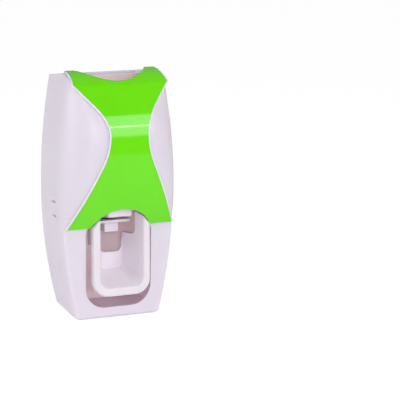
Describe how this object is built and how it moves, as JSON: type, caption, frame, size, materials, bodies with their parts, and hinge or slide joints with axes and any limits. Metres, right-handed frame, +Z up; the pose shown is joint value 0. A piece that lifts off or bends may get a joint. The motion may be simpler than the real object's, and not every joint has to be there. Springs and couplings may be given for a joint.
{
  "type": "toothpaste dispenser",
  "caption": "Wall-hung toothpaste dispenser with a barrel housing, an hourglass front panel, a tube well on top and a hinged push lever that works a piston pump.",
  "frame": {"origin": "middle of the adhesive pad's back face, on the wall", "axes": "+X across, +Y into the wall, so the front faces -Y, and +Z up"},
  "size_m": [0.076, 0.0529, 0.1536],
  "materials": {
    "white_shell": "gloss",
    "green_panel": "high gloss",
    "white_inner": "satin",
    "natural_plastic": "satin",
    "silicone": "matte",
    "dark_rubber": "matte",
    "foam": "matte closed-cell foam",
    "steel": "bright"
  },
  "bodies": {
    "base": {"housing": "white_shell", "rear_cover": "white_inner", "front_panel": "green_panel", "adhesive_pad": "foam", "cover_screws": "steel", "pump_frame": "white_inner", "frame_screws": "steel", "pump_body": "natural_plastic", "pump_cap": "natural_plastic", "return_spring": "steel", "inlet_valve": "silicone", "outlet_valve": "silicone", "nozzle": "white_inner", "nozzle_gasket": "dark_rubber", "tube_socket": "white_inner", "inlet_grommet": "silicone", "hinge_pin": "steel", "pin_clips": "steel"},
    "lever": {"push_lever": "white_shell"},
    "plunger": {"piston": "natural_plastic", "piston_seal": "dark_rubber"}
  },
  "joints": [
    {"name": "lever_hinge", "type": "hinge", "parent": "base", "child": "lever", "pos_m": [0, -0.0345, 0.006], "axis": [1, 0, 0], "range_deg": [0, 12], "stiffness_Nm_per_rad": 0.64, "springref_deg": -2.29},
    {"name": "piston_slide", "type": "slide", "parent": "base", "child": "plunger", "axis": [0, 1, 0], "range_m": [0, 0.0034], "deforming": ["return_spring"]}
  ],
  "couplings": [
    {"joint": "piston_slide", "follows": "lever_hinge", "m_per_rad": 0.016}
  ]
}
